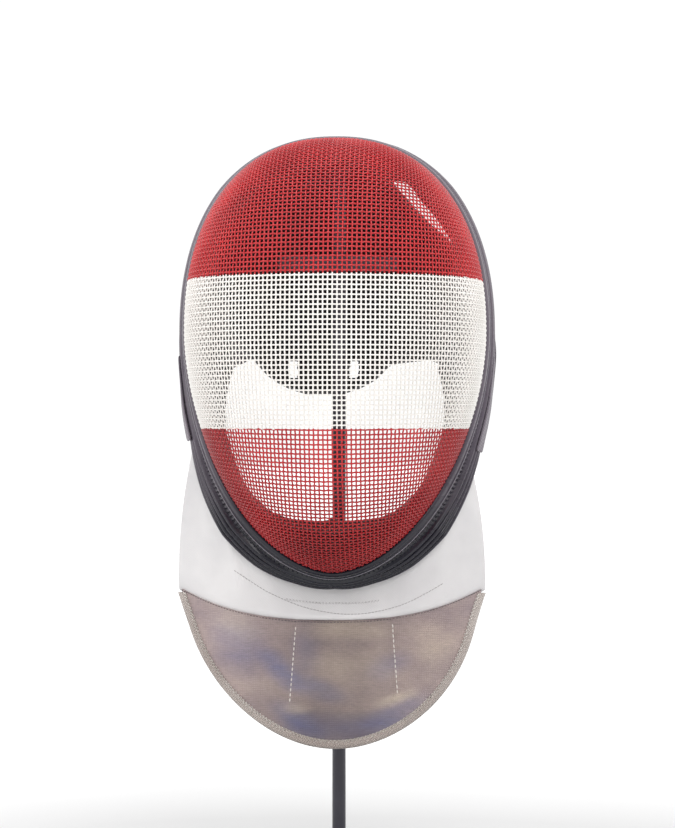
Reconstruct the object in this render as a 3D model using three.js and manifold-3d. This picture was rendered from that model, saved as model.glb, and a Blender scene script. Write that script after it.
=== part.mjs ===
// A fencing mask with its bib, held up by a plain display stand.
// Millimetres, +Z up. The mask looks toward -Y. The origin is under the middle of the base.
import * as THREE from 'three';
import Module from 'manifold-3d';

const wasm = await Module();
wasm.setup();

// Where the mask stands beside the post of the stand
const mask = { x: -2.5, y: -14 };

// The wire face: a rounded dome with an upright keel
const dome = {
  half_width: 101.5, top: 502.5, bottom: 212, widest: 372, pole: 351, front: -111,
  deep_side: 135, deep_top: 130, deep_chin: 156, chin_cut: 23,
  bulge: 2.3, round_up: 2.25, round_down: 1.8, wall: 1.8,
  keel: 5, keel_wide: 24,
};

// The rubber band round the rim; how far it turns back from the front view, by place on the rim
const trim = { start: 0.35, wide: 24, under: 1.2, flat: 2.3, groove: 2.2, bead: 5.8 };
const TRIM_TURN = [
  // place in degrees (90 crown, 0 side, -90 chin), turn in degrees
  { at: -90, turn: 76 }, { at: -76, turn: 68 }, { at: -64, turn: 54 }, { at: -52, turn: 47 },
  { at: -40, turn: 60 }, { at: -28, turn: 76 }, { at: -14, turn: 85 }, { at: 0, turn: 90 },
  { at: 45, turn: 91 }, { at: 70, turn: 98 }, { at: 90, turn: 112 },
];

// The padded ring inside the rim
const liner = { gap: 3, lip: 12, end: 0.985 };
const LINER_REACH = [
  // place in degrees, how much of the way from the front to the rim is left open
  { at: -90, reach: 0.735 }, { at: -75, reach: 0.775 }, { at: -60, reach: 0.85 }, { at: -48, reach: 0.875 },
  { at: -30, reach: 0.835 }, { at: -21, reach: 0.775 }, { at: -12, reach: 0.695 }, { at: 0, reach: 0.685 },
  { at: 12, reach: 0.72 }, { at: 20, reach: 0.8 }, { at: 28, reach: 0.88 }, { at: 50, reach: 0.88 },
  { at: 66, reach: 0.855 }, { at: 76, reach: 0.87 }, { at: 84, reach: 0.885 }, { at: 90, reach: 0.885 },
];

// The padded tongue at the back of the head, and the spring that carries it
const tongue = {
  x: -11, drop: 170.5, left: 91, right: 99, back: 83, thick: 7, bend: 105, slot_wide: 6.5, slot_high: 11.5,
  slot_drop: 153,
};
const TONGUE_ROWS = [
  // shares of the length from the crown, of the reach to the left and right, and of the place behind the rim
  { drop: 0.103, left: 0.363, right: 0.333, back: 0.398 },
  { drop: 0.167, left: 0.538, right: 0.495, back: 0.602 },
  { drop: 0.232, left: 0.637, right: 0.586, back: 0.723 },
  { drop: 0.308, left: 0.747, right: 0.707, back: 0.843 },
  { drop: 0.396, left: 0.901, right: 0.889, back: 0.928 },
  { drop: 0.484, left: 1, right: 1, back: 0.976 },
  { drop: 0.589, left: 0.967, right: 0.929, back: 1 },
  { drop: 0.718, left: 0.769, right: 0.808, back: 1 },
  { drop: 0.824, left: 0.571, right: 0.788, back: 0.988 },
  { drop: 0.865, left: 0.522, right: 0.747, back: 0.972 },
  { drop: 0.877, left: 0.509, right: 0.475, back: 0.969 },
  { drop: 0.889, left: 0.495, right: 0.455, back: 0.964 },
  { drop: 0.941, left: 0.396, right: 0.364, back: 0.952 },
  { drop: 0.977, left: 0.275, right: 0.253, back: 0.94 },
  { drop: 1, left: 0.121, right: 0.111, back: 0.928 },
];
const TONGUE_SLOTS = [{ x: -33 }, { x: 10 }];
const spring = { wide: 23, thick: 2, behind: 2.3, below: 13, dip: 18, clear: 1 };

// The elastic round the back and its ends on the sides of the wire face
const strap = { wide: 58, thick: 2, back_z: 395, back_y: 118, round: 0.9, rise: 0.7 };
const tab = { thick: 1.6, gap: 0.35, from: 12, to: 26, low: 303, high: 358 };

// The bib: cloth above, conductive panel below, tape round the edge
const bib = {
  thick: 2.4, half: 98, flare: 5.5, flare_deep: 0.3, corner_z: 201, bottom_z: 99.5, edge_round: 1.9,
  seam_z: 181, seam_rise: 20, gap: 0.35, front_top: -3, front_low: -30, wrap: 58, wrap_half: 114,
  lean_top: -3, lean_low: 1.5, rise_left: 304, rise_right: 286, lift: 0.6, fullness: 2.2,
};
const tape = { inner: 3.9, outer: 2.2, thick: 4, gap: 1.7, ends: 0.015 };

// The stand
const post = { radius: 4.5, cap: 7, cap_high: 6, gap: 0.75 };
const crossbar = { long: 80, high: 10, deep: 6, drop: 84.5 };
const standGap = 0.3;
const base = { radius: 118, high: 8, chamfer: 2 };

const V = (x, y, z) => new THREE.Vector3(x, y, z);
const clamp = (v, a, b) => Math.min(b, Math.max(a, v));
const mix = (a, b, t) => a + (b - a) * t;
const smooth = (t) => { const c = clamp(t, 0, 1); return c * c * (3 - 2 * c); };
const power = (v, p) => Math.sign(v) * Math.abs(v) ** p;

// The value of a column of a short table at x, joined by straight steps
function read(table, key, column, x) {
  const rows = [...table].sort((a, b) => a[key] - b[key]);
  if (x <= rows[0][key]) return rows[0][column];
  for (let i = 1; i < rows.length; i += 1) {
    if (x <= rows[i][key]) {
      const t = (x - rows[i - 1][key]) / (rows[i][key] - rows[i - 1][key]);
      return mix(rows[i - 1][column], rows[i][column], t);
    }
  }
  return rows[rows.length - 1][column];
}

// A closed mesh from points and faces, turned so that its faces look outward
function solid(name, points, faces) {
  let volume = 0;
  for (const [a, b, c] of faces) volume += points[a].dot(V(0, 0, 0).crossVectors(points[b], points[c]));
  const index = volume > 0 ? faces.flat() : faces.flatMap(([a, b, c]) => [a, c, b]);
  const geometry = new THREE.BufferGeometry();
  const places = points.flatMap((p) => [p.x, p.y, p.z]);
  geometry.setAttribute('position', new THREE.Float32BufferAttribute(places, 3));
  geometry.setIndex(index);
  geometry.computeVertexNormals();
  const node = new THREE.Mesh(geometry);
  node.name = name;
  return node;
}

// A band swept through closed sections that all have the same number of points
function sweep(name, sections, ring) {
  const count = sections[0].length;
  const points = sections.flat();
  const faces = [];
  const last = ring ? sections.length : sections.length - 1;
  for (let i = 0; i < last; i += 1) {
    const a = i * count;
    const b = ((i + 1) % sections.length) * count;
    for (let j = 0; j < count; j += 1) {
      const k = (j + 1) % count;
      faces.push([a + j, b + j, b + k], [a + j, b + k, a + k]);
    }
  }
  if (!ring) {
    for (const [section, flip] of [[0, true], [sections.length - 1, false]]) {
      const middle = points.length;
      const centre = V(0, 0, 0);
      for (const p of sections[section]) centre.addScaledVector(p, 1 / count);
      points.push(centre);
      for (let j = 0; j < count; j += 1) {
        const a = section * count + j;
        const b = section * count + ((j + 1) % count);
        faces.push(flip ? [middle, a, b] : [middle, b, a]);
      }
    }
  }
  return solid(name, points, faces);
}

// A plate: a grid of middle points, thickened both ways along its own normal
function plate(name, middle, columns, rows, thick) {
  const at = (u, v) => middle(u / columns, v / rows);
  const front = [];
  const back = [];
  for (let v = 0; v <= rows; v += 1) {
    for (let u = 0; u <= columns; u += 1) {
      const du = at(Math.min(u + 0.5, columns), v).sub(at(Math.max(u - 0.5, 0), v));
      const dv = at(u, Math.min(v + 0.5, rows)).sub(at(u, Math.max(v - 0.5, 0)));
      const n = du.cross(dv).normalize().multiplyScalar(thick / 2);
      front.push(at(u, v).add(n));
      back.push(at(u, v).sub(n));
    }
  }
  const points = [...front, ...back];
  const faces = [];
  const id = (u, v) => v * (columns + 1) + u;
  const other = front.length;
  for (let v = 0; v < rows; v += 1) {
    for (let u = 0; u < columns; u += 1) {
      const [a, b, c, d] = [id(u, v), id(u + 1, v), id(u + 1, v + 1), id(u, v + 1)];
      faces.push([a, b, c], [a, c, d]);
      faces.push([a + other, c + other, b + other], [a + other, d + other, c + other]);
    }
  }
  const side = (a, b) => faces.push([a, a + other, b + other], [a, b + other, b]);
  for (let u = 0; u < columns; u += 1) {
    side(id(u, 0), id(u + 1, 0));
    side(id(u + 1, rows), id(u, rows));
  }
  for (let v = 0; v < rows; v += 1) {
    side(id(0, v + 1), id(0, v));
    side(id(columns, v), id(columns, v + 1));
  }
  return solid(name, points, faces);
}

// The rim of the wire face in the front view; place runs from -90 at the chin to 90 at the crown
function rim(turn) {
  const s = Math.sin(turn);
  const c = Math.cos(turn);
  const up = s > 0;
  const p = 2 / (up ? dome.round_up : dome.round_down);
  const high = up ? dome.top - dome.widest : dome.widest - dome.bottom;
  return { x: dome.half_width * power(c, p), z: dome.widest + high * power(s, p) };
}

// How deep the dome is at this place on the rim, and the angle at which the rim cuts it
function depth(z) {
  const low = clamp((dome.pole - z) / (dome.pole - dome.bottom), 0, 1);
  const high = clamp((z - dome.pole) / (dome.top - dome.pole), 0, 1);
  return {
    deep: dome.deep_side + (dome.deep_chin - dome.deep_side) * low * low
      + (dome.deep_top - dome.deep_side) * high * high,
    end: ((90 - dome.chin_cut * smooth(low)) * Math.PI) / 180,
  };
}

// A point of the wire face: share 0 is the front, 1 is the rim
function facePoint(turn, share) {
  const edge = rim(turn);
  const { deep, end } = depth(edge.z);
  const full = Math.sin(end) ** (2 / dome.bulge);
  const angle = end * share;
  const part = Math.sin(angle) ** (2 / dome.bulge);
  const x = (edge.x * part) / full;
  const z = dome.pole + ((edge.z - dome.pole) * part) / full;
  const ridge = dome.keel * Math.exp(-Math.hypot(x, 3) / dome.keel_wide) * (1 - part ** 4);
  return V(x, dome.front + deep * (1 - Math.cos(angle) ** (2 / dome.bulge)) - ridge, z);
}

// The way out of the wire face at that point
function outward(turn, share) {
  const step = 0.01;
  const p = facePoint(turn, share);
  const round = facePoint(turn + step, share).sub(facePoint(turn - step, share));
  const back = facePoint(turn, Math.min(share + step, 1)).sub(facePoint(turn, share - step));
  const n = round.cross(back).normalize();
  return n.dot(V(p.x, p.y - dome.deep_side / 2, p.z - dome.pole)) < 0 ? n.negate() : n;
}

const offset = (turn, share, by) => facePoint(turn, share).addScaledVector(outward(turn, share), by);
const around = (count, i) => (i / count) * Math.PI * 2;
const degrees = (turn) => (Math.asin(Math.sin(turn)) * 180) / Math.PI;

function meshDome() {
  const columns = 48;
  const rows = 12;
  const points = [];
  const faces = [];
  for (const by of [0, -dome.wall]) {
    for (let r = 1; r <= rows; r += 1) {
      for (let c = 0; c < columns; c += 1) points.push(offset(around(columns, c), r / rows, by));
    }
  }
  const layer = rows * columns;
  const id = (side, r, c) => side * layer + (r - 1) * columns + (c % columns);
  const tips = [points.length, points.length + 1];
  points.push(facePoint(0, 0), facePoint(0, 0).add(V(0, dome.wall, 0)));
  for (let c = 0; c < columns; c += 1) {
    faces.push([tips[0], id(0, 1, c), id(0, 1, c + 1)], [tips[1], id(1, 1, c + 1), id(1, 1, c)]);
    for (let r = 1; r < rows; r += 1) {
      const [a, b, d, e] = [id(0, r, c), id(0, r + 1, c), id(0, r + 1, c + 1), id(0, r, c + 1)];
      faces.push([a, b, d], [a, d, e]);
      faces.push([a + layer, d + layer, b + layer], [a + layer, e + layer, d + layer]);
    }
    const [a, b] = [id(0, rows, c), id(0, rows, c + 1)];
    faces.push([a, a + layer, b + layer], [a, b + layer, b]);
  }
  return solid('mesh_dome', points, faces);
}

// Directions at the rim: out of the outline in the front view, and the way the trim runs
function rimFrame(turn) {
  const step = 0.02;
  const a = rim(turn - step);
  const b = rim(turn + step);
  const out = V(b.z - a.z, 0, a.x - b.x).normalize();
  const edge = rim(turn);
  if (out.dot(V(edge.x, 0, edge.z - dome.pole)) < 0) out.negate();
  const back = (read(TRIM_TURN, 'at', 'turn', degrees(turn)) * Math.PI) / 180;
  return {
    at: facePoint(turn, 1),
    run: out.clone().multiplyScalar(Math.cos(back)).add(V(0, Math.sin(back), 0)),
    up: out.clone().multiplyScalar(Math.sin(back)).add(V(0, -Math.cos(back), 0)),
  };
}

const trimPoint = (turn, along, high) => {
  const f = rimFrame(turn);
  return f.at.clone().addScaledVector(f.run, along).addScaledVector(f.up, high);
};

function rimTrim() {
  const w = trim.wide;
  const s = trim.start;
  const profile = [
    [s + 1.6, -trim.under], [s, 0.4], [s, trim.flat - 0.8], [s + 0.8, trim.flat], [w * 0.16, trim.flat],
    [w * 0.175, trim.flat + 0.8], [w * 0.195, trim.flat + 0.8], [w * 0.21, trim.groove],
    [w * 0.41, trim.groove], [w * 0.43, trim.bead - 0.9], [w * 0.48, trim.bead],
    [w * 0.56, trim.bead], [w * 0.61, trim.bead - 1.1], [w * 0.66, trim.bead],
    [w * 0.75, trim.bead], [w * 0.8, trim.bead - 1.1], [w * 0.85, trim.bead],
    [w * 0.94, trim.bead - 0.2], [w, trim.bead - 1.8], [w, -trim.under],
  ];
  const sections = [];
  for (let i = 0; i < 60; i += 1) {
    sections.push(profile.map(([a, b]) => trimPoint(around(60, i), a, b)));
  }
  return sweep('rim_trim', sections, true);
}

function linerRing() {
  const sections = [];
  for (let i = 0; i < 48; i += 1) {
    const turn = around(48, i);
    const edge = facePoint(turn, 1);
    const reach = read(LINER_REACH, 'at', 'reach', degrees(turn));
    const inner = (share, back) => V(edge.x * share, edge.y + back, mix(dome.pole, edge.z, share));
    const start = mix(0.7, 0.78, smooth((reach - 0.75) / 0.1));
    sections.push([
      offset(turn, start, -liner.gap), offset(turn, (start + 1) / 2, -liner.gap),
      offset(turn, liner.end, -liner.gap),
      inner(mix(reach, 0.97, 0.5), 1), inner(reach + 0.015, 1), inner(reach, -4),
      inner(reach, -liner.lip), inner(mix(reach, 0.95, 0.25), -liner.lip * 1.8),
    ]);
  }
  return sweep('liner', sections, true);
}

function tonguePoint(u, v) {
  const row = v * (TONGUE_ROWS.length - 1);
  const i = Math.min(Math.floor(row), TONGUE_ROWS.length - 2);
  const at = (column) => tongue[column] * mix(TONGUE_ROWS[i][column], TONGUE_ROWS[i + 1][column], row - i);
  const x = (u * 2 - 1) * at(u < 0.5 ? 'left' : 'right');
  const crown = facePoint(Math.PI / 2, 1);
  return V(tongue.x + x, crown.y + at('back') - (x * x) / (2 * tongue.bend), crown.z - at('drop'));
}

// Cuts boxes out of a solid
function cut(node, boxes) {
  const source = node.geometry;
  const body = new wasm.Manifold(new wasm.Mesh({
    numProp: 3, vertProperties: new Float32Array(source.getAttribute('position').array),
    triVerts: new Uint32Array(source.getIndex().array),
  }));
  let rest = body;
  for (const box of boxes) {
    rest = rest.subtract(wasm.Manifold.cube(box.size, true).translate(box.at));
  }
  const mesh = rest.getMesh();
  const geometry = new THREE.BufferGeometry();
  geometry.setAttribute('position', new THREE.Float32BufferAttribute(Array.from(mesh.vertProperties), 3));
  geometry.setIndex(Array.from(mesh.triVerts));
  geometry.computeVertexNormals();
  const result = new THREE.Mesh(geometry);
  result.name = node.name;
  return result;
}

function tonguePad() {
  const pad = plate('tongue', tonguePoint, 12, (TONGUE_ROWS.length - 1) * 2, tongue.thick);
  return cut(pad, TONGUE_SLOTS.map((slot) => ({
    at: [slot.x, tonguePoint(0.5, 0.6).y, dome.top - tongue.slot_drop],
    size: [tongue.slot_wide, 60, tongue.slot_high],
  })));
}

function tongueSpring() {
  const top = tonguePoint(0.5, 0);
  const from = facePoint(Math.PI / 2, 1);
  const under = tongue.thick / 2 + spring.thick / 2 + spring.clear;
  const low = tonguePoint(0.5, 1 / (TONGUE_ROWS.length - 1));
  const down = V(0, top.z - low.z, low.y - top.y).normalize().multiplyScalar(-under);
  const path = [
    V(tongue.x, from.y + spring.behind, from.z - spring.below),
    V(tongue.x, mix(from.y, top.y, 0.35), from.z - spring.dip),
    top.clone().add(down), top.clone().lerp(low, 0.5).add(down),
  ];
  const sections = path.map((p, i) => {
    const a = path[Math.max(i - 1, 0)];
    const b = path[Math.min(i + 1, path.length - 1)];
    const along = b.clone().sub(a).normalize();
    const over = V(0, -along.z, along.y).multiplyScalar(spring.thick / 2);
    const half = V(spring.wide / 2, 0, 0);
    return [
      p.clone().add(over).add(half), p.clone().add(over).sub(half),
      p.clone().sub(over).sub(half), p.clone().sub(over).add(half),
    ];
  });
  return sweep('tongue_spring', sections, false);
}

// The turn of the rim where the wire face is as high as this, on the right-hand side
function turnAt(z) {
  let low = -Math.PI / 2;
  let high = Math.PI / 2;
  for (let i = 0; i < 40; i += 1) {
    const middle = (low + high) / 2;
    if (rim(middle).z < z) low = middle; else high = middle;
  }
  return (low + high) / 2;
}

function strapTab(name, side) {
  const middle = (u, v) => {
    const turn = turnAt(mix(tab.high, tab.low, v));
    const p = trimPoint(turn, mix(tab.from, tab.to, u), trim.bead + tab.gap + tab.thick / 2);
    return V(side * p.x, p.y, p.z);
  };
  return plate(name, middle, 3, 6, tab.thick);
}

function backStrap() {
  const middle = (u, v) => {
    const turn = mix(-90, 90, u) * (Math.PI / 180);
    const end = trimPoint(turnAt(mix(tab.high, tab.low, v)), tab.to + 3 * tab.gap, trim.bead + tab.gap);
    const back = Math.cos(turn);
    return V(
      end.x * Math.sin(turn),
      mix(end.y, strap.back_y, back ** strap.round),
      mix(end.z, strap.back_z + (0.5 - v) * strap.wide, back ** strap.rise),
    );
  };
  return plate('back_strap', middle, 28, 3, strap.thick);
}

// A point of the bib; x is counted from its own middle line, which leans a little
function bibPoint(x, z, forward) {
  const low = smooth((bib.corner_z - z) / (bib.corner_z - bib.bottom_z));
  return V(x + mix(bib.lean_top, bib.lean_low, low), bibY(x, z) + forward, z);
}

// The front of the bib at a height, and how it wraps back at the sides
function bibY(x, z) {
  const down = clamp((bib.corner_z + 60 - z) / (bib.corner_z + 60 - bib.bottom_z), 0, 1);
  const share = clamp(Math.abs(x) / bib.wrap_half, 0, 1);
  return mix(bib.front_top, bib.front_low, down * down) + bib.wrap * (1 - Math.sqrt(1 - share * share));
}

// The top of the bib follows the outer edge of the trim
function bibTop(u) {
  const turn = mix(-Math.PI - turnAt(bib.rise_left), turnAt(bib.rise_right), u);
  return trimPoint(turn, trim.wide + bib.thick / 2 + bib.gap * 2, bib.lift);
}

const seamZ = (x) => bib.seam_z + bib.seam_rise * Math.min(Math.abs(x) / (bib.half + bib.flare), 1) ** 2.6;
const bibHalf = (low) => bib.half + bib.flare * clamp(1 - low / bib.flare_deep, 0, 1) ** 2;
const edgeHalf = (z) => {
  const low = clamp((bib.corner_z - z) / (bib.corner_z - bib.bottom_z), 0, 1);
  return bibHalf(low) * (1 - low ** bib.edge_round) ** (1 / bib.edge_round);
};

function bibUpper() {
  const middle = (u, v) => {
    const top = bibTop(u);
    const x = mix(-bibHalf(0), bibHalf(0), u);
    const z = seamZ(x) + bib.gap;
    const low = bibPoint(x, z, 0);
    const p = top.clone().lerp(low, v);
    return V(mix(top.x, low.x, 1 - (1 - v) ** bib.fullness), p.y, p.z);
  };
  return plate('bib_upper', middle, 26, 7, bib.thick);
}

// The edge of the bib, from its left corner round the bottom to its right corner
function bibEdge(u) {
  const turn = mix(-Math.PI, 0, u);
  const low = -power(Math.sin(turn), 2 / bib.edge_round);
  const x = bibHalf(low) * power(Math.cos(turn), 2 / bib.edge_round);
  return { x, z: mix(bib.corner_z, bib.bottom_z, low) };
}

function bibLame() {
  const middle = (u, v) => {
    const top = bib.corner_z - 1.5 - bib.gap;
    const hold = tape.inner + tape.gap;
    const x = mix(-1, 1, u) * (edgeHalf(top) - hold);
    const edge = bibEdge(clamp(u, tape.ends * 0.8, 1 - tape.ends * 0.8));
    const inner = 1 - hold / Math.hypot(edge.x, edge.z - bib.corner_z);
    const bottom = { x: edge.x * inner, z: mix(bib.corner_z, edge.z, inner) - bib.gap };
    const px = mix(x, bottom.x, v);
    const pz = mix(seamZ(x) - bib.gap, Math.min(bottom.z, seamZ(x) - 2), v);
    return bibPoint(px, pz, 0);
  };
  return plate('bib_lame', middle, 26, 6, bib.thick);
}

function bibBinding() {
  const sections = [];
  for (let i = 0; i <= 36; i += 1) {
    const u = mix(tape.ends, 1 - tape.ends, i / 36);
    const edge = bibEdge(u);
    const out = V(edge.x, 0, edge.z - bib.corner_z).normalize();
    const point = (a, b) => bibPoint(edge.x + out.x * a, edge.z + out.z * a, b);
    const { inner, outer } = tape;
    const t = tape.thick / 2;
    sections.push([
      point(-inner, -t), point(-inner, t), point(0, t),
      point(outer, t * 0.5), point(outer, -t * 0.5), point(0, -t),
    ]);
  }
  return sweep('bib_binding', sections, false);
}

// A turned body: a list of radius and height
function turned(name, outline, sides) {
  const points = [];
  const faces = [];
  const rings = outline.filter(([r]) => r > 0);
  for (const [r, z] of rings) {
    for (let i = 0; i < sides; i += 1) {
      const a = around(sides, i);
      points.push(V(r * Math.cos(a), r * Math.sin(a), z));
    }
  }
  for (let k = 0; k < rings.length - 1; k += 1) {
    for (let i = 0; i < sides; i += 1) {
      const j = (i + 1) % sides;
      const [a, b, c, d] = [k * sides + i, k * sides + j, (k + 1) * sides + j, (k + 1) * sides + i];
      faces.push([a, b, c], [a, c, d]);
    }
  }
  const low = points.length;
  points.push(V(0, 0, rings[0][1]), V(0, 0, rings[rings.length - 1][1]));
  const lastRing = (rings.length - 1) * sides;
  for (let i = 0; i < sides; i += 1) {
    const j = (i + 1) % sides;
    faces.push([low, j, i], [low + 1, lastRing + i, lastRing + j]);
  }
  return solid(name, points, faces);
}

function standCrossbar() {
  const near = -post.radius - standGap;
  const far = near - crossbar.deep;
  const high = dome.top - crossbar.drop + crossbar.high / 2;
  const low = high - crossbar.high;
  const section = (x) => [V(x, near, low), V(x, near, high), V(x, far, high), V(x, far, low)];
  return sweep('stand_crossbar', [section(-crossbar.long / 2), section(crossbar.long / 2)], false);
}

const group = new THREE.Group();
const moved = [
  meshDome(), rimTrim(), linerRing(), tonguePad(), tongueSpring(), backStrap(),
  strapTab('strap_tab_left', -1), strapTab('strap_tab_right', 1),
  bibUpper(), bibLame(), bibBinding(),
];
for (const node of moved) {
  node.geometry.translate(mask.x, mask.y, 0);
  group.add(node);
}
// The post carries the mask by the crown of its liner
const postTop = mix(dome.pole, dome.top, read(LINER_REACH, 'at', 'reach', 90)) - post.gap;
group.add(turned('stand_post', [
  [post.radius, base.high + standGap], [post.radius, postTop - post.cap_high],
  [post.cap, postTop - post.cap_high + 2], [post.cap, postTop - 2], [post.cap - 3, postTop],
], 20));
group.add(standCrossbar());
group.add(turned('stand_base', [
  [base.radius, 0], [base.radius, base.high - base.chamfer], [base.radius - base.chamfer, base.high],
], 56));

export default group;
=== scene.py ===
# The look of the fencing mask and its stand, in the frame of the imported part.
import math

import bpy
import numpy as np
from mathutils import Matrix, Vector


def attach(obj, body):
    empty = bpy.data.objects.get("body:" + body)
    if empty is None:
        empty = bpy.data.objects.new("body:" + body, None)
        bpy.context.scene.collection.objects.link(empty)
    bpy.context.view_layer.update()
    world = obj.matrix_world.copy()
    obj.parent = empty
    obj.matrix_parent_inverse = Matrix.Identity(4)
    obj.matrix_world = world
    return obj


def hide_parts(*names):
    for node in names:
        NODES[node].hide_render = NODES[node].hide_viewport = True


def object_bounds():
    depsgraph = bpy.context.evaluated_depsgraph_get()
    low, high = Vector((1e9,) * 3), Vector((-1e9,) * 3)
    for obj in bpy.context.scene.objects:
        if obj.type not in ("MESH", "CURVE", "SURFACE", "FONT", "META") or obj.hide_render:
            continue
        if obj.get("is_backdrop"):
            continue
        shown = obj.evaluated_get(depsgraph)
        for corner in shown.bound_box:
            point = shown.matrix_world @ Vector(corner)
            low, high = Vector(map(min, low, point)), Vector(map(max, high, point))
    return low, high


# Camera: level, almost two metres away, turned a little to the right of the mask
TALL, FOCAL_PX, AWAY, HEIGHT, TURN = 828, 2925.0, 1.964, 0.310, math.radians(2.2)
SENSOR, SHIFT_RIGHT_PX, SHIFT_UP_PX = 36.0, -1.5, 11.0
cam = bpy.data.objects.new("camera", bpy.data.cameras.new("camera"))
bpy.context.scene.collection.objects.link(cam)
bpy.context.scene.camera = cam
cam.location = (AWAY * math.sin(TURN), -AWAY * math.cos(TURN), HEIGHT)
cam.rotation_euler = (math.pi / 2, 0, TURN)
cam.data.sensor_width = SENSOR
cam.data.lens = FOCAL_PX / TALL * SENSOR
cam.data.shift_x = SHIFT_RIGHT_PX / TALL
cam.data.shift_y = SHIFT_UP_PX / TALL
cam.data.clip_start, cam.data.clip_end = 0.05, 50.0

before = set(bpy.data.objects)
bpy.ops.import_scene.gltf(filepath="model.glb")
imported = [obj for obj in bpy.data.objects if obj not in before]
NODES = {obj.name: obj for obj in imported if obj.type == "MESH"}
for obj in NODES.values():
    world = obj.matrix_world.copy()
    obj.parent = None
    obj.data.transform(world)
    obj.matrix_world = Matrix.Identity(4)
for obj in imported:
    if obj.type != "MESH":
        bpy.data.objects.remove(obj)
sizes = {}
low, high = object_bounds()
sizes["cad"] = [list(low), list(high)]

# Sizes of the part, in millimetres, in the mask's own place beside the post
PLACE = np.array([-2.5, -14.0, 0.0])
HALF, TOP, BOTTOM, WIDEST, POLE, FRONT = 101.5, 502.5, 212.0, 372.0, 351.0, -111.0
DEEP_SIDE, DEEP_TOP, DEEP_CHIN, CHIN_CUT = 135.0, 130.0, 156.0, 23.0
BULGE, ROUND_UP, ROUND_DOWN, KEEL, KEEL_WIDE = 2.3, 2.25, 1.8, 5.0, 24.0
# How far the trim turns back, by place in degrees from the side
TURNS = np.array([(-90, 76), (-76, 68), (-64, 54), (-52, 47), (-40, 60), (-28, 76), (-14, 85),
                  (0, 90), (45, 91), (70, 98), (90, 112)], float)
BIB_HALF, BIB_FLARE, FLARE_DEEP, CORNER, BIB_LOW, EDGE_ROUND = 98.0, 5.5, 0.3, 201.0, 99.5, 1.9
SEAM, SEAM_RISE, RISE_LEFT, RISE_RIGHT = 181.0, 20.0, 304.0, 286.0
LEAN_TOP, LEAN_LOW, TAPE_INNER, TAPE_OUTER = -3.0, 1.5, 3.9, 2.2
TAB_HIGH, TAB_LOW, STRAP_Z, STRAP_Y, STRAP_WIDE, TAB_UP = 358.0, 303.0, 395.0, 118.0, 58.0, 6.95


def mix(a, b, t):
    return a + (b - a) * t


def smooth(t):
    c = np.clip(t, 0, 1)
    return c * c * (3 - 2 * c)


def power(v, p):
    return np.sign(v) * np.abs(v) ** p


def unit(v):
    return v / np.maximum(np.linalg.norm(v, axis=-1, keepdims=True), 1e-12)


# Meshes

def add_mesh(name, verts, faces, material, flat=False):
    """A mesh object from points in millimetres and an array of faces, riding on the part."""
    verts = verts.reshape(-1, 3) + PLACE
    mesh = bpy.data.meshes.new(name)
    mesh.vertices.add(len(verts))
    mesh.vertices.foreach_set("co", (verts / 1000).astype(np.float32).ravel())
    mesh.loops.add(faces.size)
    mesh.loops.foreach_set("vertex_index", faces.astype(np.int32).ravel())
    mesh.polygons.add(len(faces))
    starts = np.arange(len(faces)) * faces.shape[1]
    mesh.polygons.foreach_set("loop_start", starts.astype(np.int32))
    mesh.polygons.foreach_set("use_smooth", np.full(len(faces), not flat))
    mesh.update(calc_edges=True)
    mesh.validate()
    obj = bpy.data.objects.new(name, mesh)
    bpy.context.scene.collection.objects.link(obj)
    mesh.materials.append(material)
    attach(obj, "root")
    return obj


def grid_faces(rows, columns, wrap_rows=False, wrap_columns=False):
    r = np.arange(rows if wrap_rows else rows - 1)
    c = np.arange(columns if wrap_columns else columns - 1)
    r, c = np.meshgrid(r, c, indexing="ij")
    r2, c2 = (r + 1) % rows, (c + 1) % columns
    corners = [r * columns + c, r2 * columns + c, r2 * columns + c2, r * columns + c2]
    return np.stack(corners, -1).reshape(-1, 4)


def grid_normals(points):
    return unit(np.cross(np.gradient(points, axis=0), np.gradient(points, axis=1)))


def grid_area(points):
    d1 = points[1:, 1:] - points[:-1, :-1]
    d2 = points[1:, :-1] - points[:-1, 1:]
    return float(np.linalg.norm(np.cross(d1, d2), axis=-1).sum() / 2)


def thicken(obj, thick):
    """Gives a sheet its thickness, half to each side, and softens its edges."""
    solid = obj.modifiers.new("thick", "SOLIDIFY")
    solid.thickness = thick / 1000
    solid.offset = 0
    soften(obj, 1)
    return obj


def soften(obj, levels):
    soft = obj.modifiers.new("soft", "SUBSURF")
    soft.levels = soft.render_levels = levels


def plate(name, points, thick, material):
    """A thick sheet with rounded edges over a grid of middle points."""
    return thicken(add_mesh(name, points, grid_faces(*points.shape[:2]), material), thick)


def distances(points):
    """How far along a line each of its points lies."""
    return np.concatenate([[0], np.cumsum(np.linalg.norm(np.diff(points, axis=0), axis=1))])


def sampled(at, step, values):
    """The values of a line's points, taken at places between them."""
    return np.stack([np.interp(at, step, values[:, k]) for k in range(3)], -1)


def tubes(name, lines, radius, sides, material):
    """Round wires along lines; each line is (points, normals)."""
    verts, faces, start = [], [], 0
    angle = np.arange(sides) / sides * 2 * math.pi
    for points, normals in lines:
        run = unit(np.gradient(points, axis=0))
        side = unit(np.cross(run, normals))
        up = np.cross(side, run)
        ring = (points[:, None] + radius * (np.cos(angle)[None, :, None] * up[:, None]
                                            + np.sin(angle)[None, :, None] * side[:, None]))
        verts.append(ring.reshape(-1, 3))
        faces.append(grid_faces(len(points), sides, wrap_columns=True) + start)
        start += len(points) * sides
    return add_mesh(name, np.concatenate(verts), np.concatenate(faces), material)


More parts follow.
